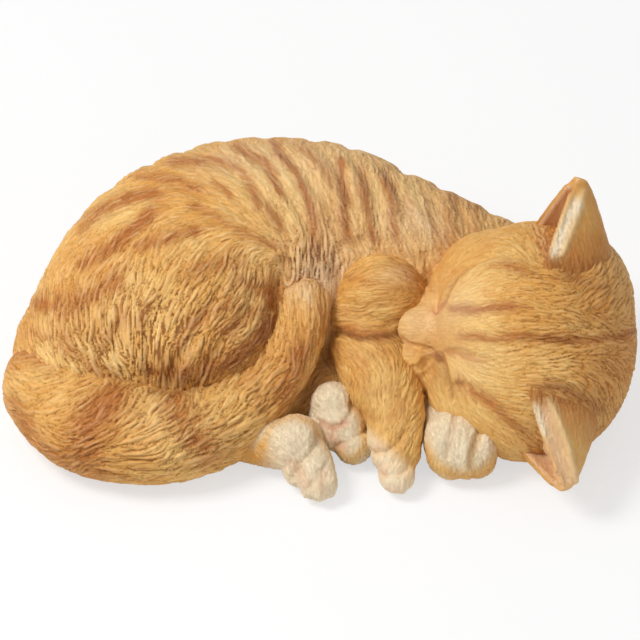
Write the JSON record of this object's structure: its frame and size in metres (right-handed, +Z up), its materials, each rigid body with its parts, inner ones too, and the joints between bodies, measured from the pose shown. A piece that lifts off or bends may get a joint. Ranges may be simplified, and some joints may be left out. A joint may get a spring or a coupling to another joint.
{
  "type": "sleeping cat garden statue",
  "caption": "Curled sleeping tabby cat in cast, hand-painted resin: head resting on its paws, tail wrapped along the front and curled up on the thigh. Stands loose on rubber feet.",
  "frame": {"origin": "middle of the bounding box, at the ground under the rubber feet", "axes": "+X from the rump to the head, along the longest side; +Y from the paws to the cat's back; +Z up, the shortest side"},
  "size_m": [0.3202, 0.2044, 0.1257],
  "materials": {
    "ginger_resin": "hand-painted ginger tabby on carved fur, matt",
    "cream_resin": "hand-painted cream paws with pink washed between the toes, matt",
    "bare_resin": "unpainted cast resin, matt",
    "black_rubber": "soft black rubber"
  },
  "bodies": {
    "root": {"body_shell": "ginger_resin", "head": "ginger_resin", "ear_far": "ginger_resin", "ear_near": "ginger_resin", "tail": "ginger_resin", "foreleg": "ginger_resin", "hind_leg_near": "cream_resin", "hind_paw_far": "cream_resin", "chin_paw": "cream_resin", "base_plate": "bare_resin", "drain_plug": "black_rubber", "foot_pad_head": "black_rubber", "foot_pad_tail": "black_rubber", "foot_pad_back_left": "black_rubber", "foot_pad_back_right": "black_rubber"}
  },
  "joints": []
}
